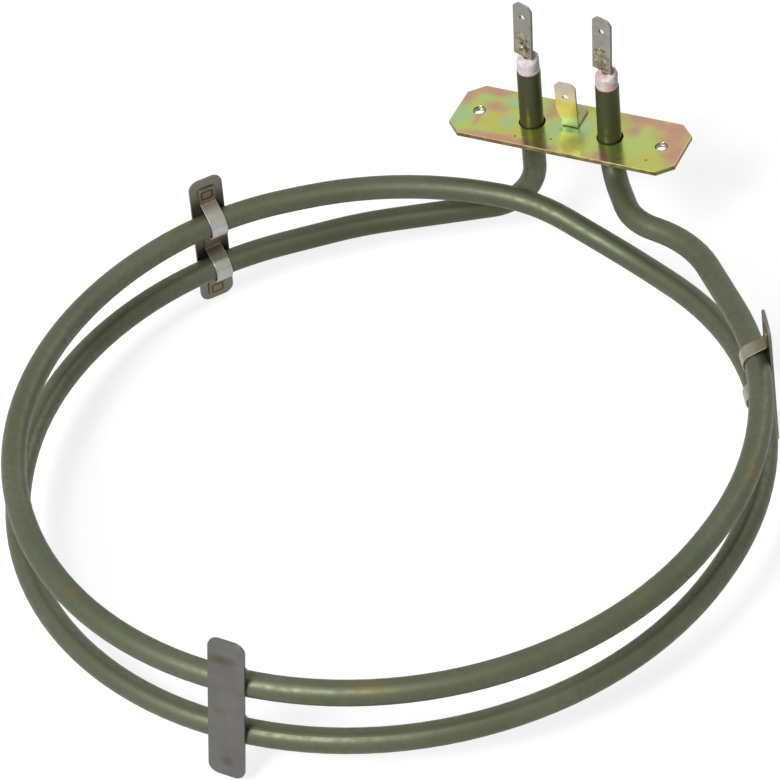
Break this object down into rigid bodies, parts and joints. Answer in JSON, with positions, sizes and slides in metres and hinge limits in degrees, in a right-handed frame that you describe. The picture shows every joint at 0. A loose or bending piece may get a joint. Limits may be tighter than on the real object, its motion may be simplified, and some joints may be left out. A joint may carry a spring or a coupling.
{
  "type": "tubular heating element",
  "caption": "Ring-shaped sheathed heating element, coiled round a fan, with a mounting plate, push-on terminals and coil clips.",
  "frame": {"origin": "centre of the mounting plate's seat face, which goes against the appliance's wall", "axes": "+X along the mounting plate, +Z out of the seat face along the terminals, and the coil hangs below the plate towards -Y"},
  "size_m": [0.21, 0.234, 0.0882],
  "materials": {
    "sheath": "matte",
    "magnesia": "matte",
    "resistance_alloy": "satin",
    "yellow_zinc": "satin",
    "nickel_steel": "satin",
    "bush_ceramic": "matte",
    "seal_varnish": "gloss",
    "clip_steel": "satin"
  },
  "bodies": {
    "root": {"sheath_tube": "sheath", "magnesia_fill": "magnesia", "resistance_coil": "resistance_alloy", "mounting_plate": "yellow_zinc", "earth_tab": "yellow_zinc", "terminal_pin_left": "nickel_steel", "terminal_pin_right": "nickel_steel", "end_bush_left": "bush_ceramic", "end_bush_right": "bush_ceramic", "end_seal_left": "seal_varnish", "end_seal_right": "seal_varnish", "terminal_blade_left": "nickel_steel", "terminal_blade_right": "nickel_steel", "leg_weld_left": "sheath", "leg_weld_right": "sheath", "clip_plate_rear": "clip_steel", "clip_plate_front": "clip_steel", "clip_plate_side": "clip_steel", "clip_strap_rear": "clip_steel", "clip_strap_front": "clip_steel", "clip_strap_side": "clip_steel"}
  },
  "joints": []
}
